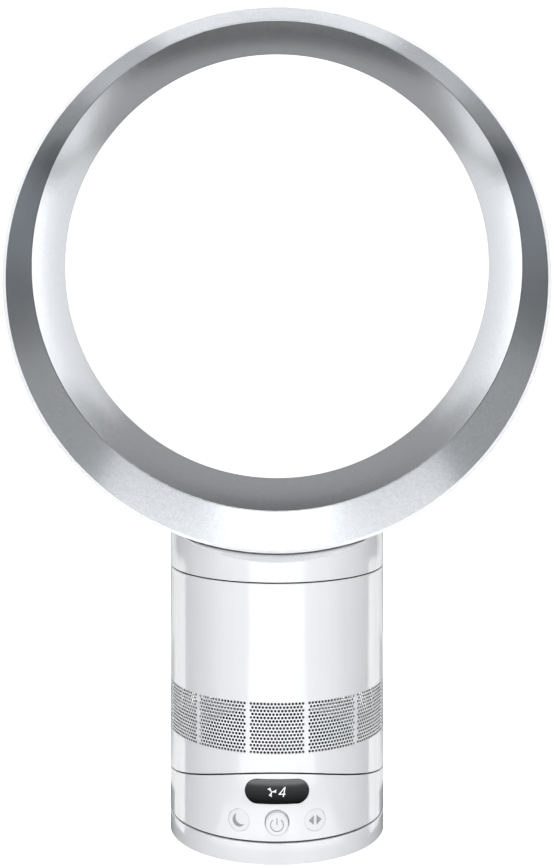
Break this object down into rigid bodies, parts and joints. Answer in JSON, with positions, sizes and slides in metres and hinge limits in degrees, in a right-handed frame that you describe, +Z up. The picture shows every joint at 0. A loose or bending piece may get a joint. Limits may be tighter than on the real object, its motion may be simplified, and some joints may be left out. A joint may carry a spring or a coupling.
{
  "type": "bladeless fan",
  "caption": "Bladeless desk fan: round white column with a perforated inlet and front controls, carrying a deep round air loop with a silver bore.",
  "frame": {"origin": "on the surface that the fan stands on, under the middle of the round base", "axes": "+Z up; the front of the fan, with its controls and the wide side of the loop, faces -Y; +X is to the right of someone who looks at the front"},
  "size_m": [0.3587, 0.15, 0.5527],
  "materials": {
    "white_casing": "gloss",
    "white_button": "satin",
    "grille_sheet": "satin",
    "silver_trim": "satin",
    "smoked_window": "gloss",
    "grey_moulding": "matte",
    "impeller_nylon": "satin",
    "slide_plastic": "satin",
    "black_rubber": "matte",
    "soft_rubber": "matte",
    "bright_steel": "satin",
    "zinc_can": "satin",
    "stator_iron": "satin",
    "magnet_ferrite": "matte",
    "circuit_board": "satin",
    "black_component": "satin",
    "grey_foam": "matte"
  },
  "bodies": {
    "foot": {"foot_shell": "white_casing", "foot_plate": "grey_moulding", "rubber_feet": "black_rubber", "foot_screws": "bright_steel", "pivot_spindle": "grey_moulding", "fixed_gear": "slide_plastic", "spindle_clip": "bright_steel", "slip_ring": "slide_plastic", "cord_gland": "black_rubber"},
    "control_base": {"control_housing": "white_casing", "turntable_plate": "grey_moulding", "base_screws": "bright_steel", "tilt_cradle": "grey_moulding", "tilt_rails": "slide_plastic", "glide_pads": "slide_plastic", "display_window": "smoked_window", "display_board": "circuit_board", "display_module": "black_component", "button_carrier": "grey_moulding", "keypad_mat": "soft_rubber", "power_board": "circuit_board", "board_components": "black_component", "motor_bracket": "grey_moulding", "swing_motor": "zinc_can"},
    "pinion": {"swing_pinion": "slide_plastic", "pinion_shaft": "bright_steel"},
    "power_key": {"power_button": "white_button"},
    "sleep_key": {"sleep_button": "white_button"},
    "swing_key": {"swing_button": "white_button"},
    "fan_body": {"tilt_floor": "grey_moulding", "driver_board": "circuit_board", "body_casing": "white_casing", "inlet_grille": "grille_sheet", "housing_seat": "grey_moulding", "seat_gasket": "soft_rubber", "impeller_housing": "grey_moulding", "motor_stator": "stator_iron", "motor_bucket_lower": "grey_moulding", "motor_bucket_upper": "grey_moulding", "lower_bearing": "bright_steel", "upper_bearing": "bright_steel", "diffuser_vanes": "grey_moulding", "acoustic_foam": "grey_foam", "collar_ring": "grey_moulding", "neck_gasket": "black_rubber", "loop_neck": "white_casing", "loop_shell": "white_casing", "front_flare": "silver_trim", "inner_barrel": "silver_trim", "barrel_spacers": "grey_moulding"},
    "rotor": {"impeller": "impeller_nylon", "impeller_shroud": "impeller_nylon", "motor_shaft": "bright_steel", "rotor_magnets": "magnet_ferrite"}
  },
  "joints": [
    {"name": "swing", "type": "hinge", "parent": "foot", "child": "control_base", "pos_m": [0, 0, 0], "axis": [0, 0, 1], "range_deg": [-45, 45]},
    {"name": "pinion_turn", "type": "hinge", "parent": "control_base", "child": "pinion", "pos_m": [0, 0.024, 0.0235], "axis": [0, 0, 1], "range_deg": [-135, 135]},
    {"name": "tilt", "type": "hinge", "parent": "control_base", "child": "fan_body", "pos_m": [0, 0, 0.22473], "axis": [1, 0, 0], "range_deg": [-10, 10]},
    {"name": "impeller_spin", "type": "hinge", "parent": "fan_body", "child": "rotor", "pos_m": [0, 0, 0.12], "axis": [0, 0, 1], "continuous": true},
    {"name": "power_press", "type": "slide", "parent": "control_base", "child": "power_key", "axis": [0, 1, 0], "range_m": [0, 0.0008], "stiffness_N_per_m": 1500, "springref_m": -0.0004},
    {"name": "sleep_press", "type": "slide", "parent": "control_base", "child": "sleep_key", "axis": [0.3371, 0.9415, 0], "range_m": [0, 0.0008], "stiffness_N_per_m": 1500, "springref_m": -0.0004},
    {"name": "swing_press", "type": "slide", "parent": "control_base", "child": "swing_key", "axis": [-0.3371, 0.9415, 0], "range_m": [0, 0.0008], "stiffness_N_per_m": 1500, "springref_m": -0.0004}
  ],
  "couplings": [
    {"joint": "pinion_turn", "follows": "swing", "ratio": 3}
  ]
}
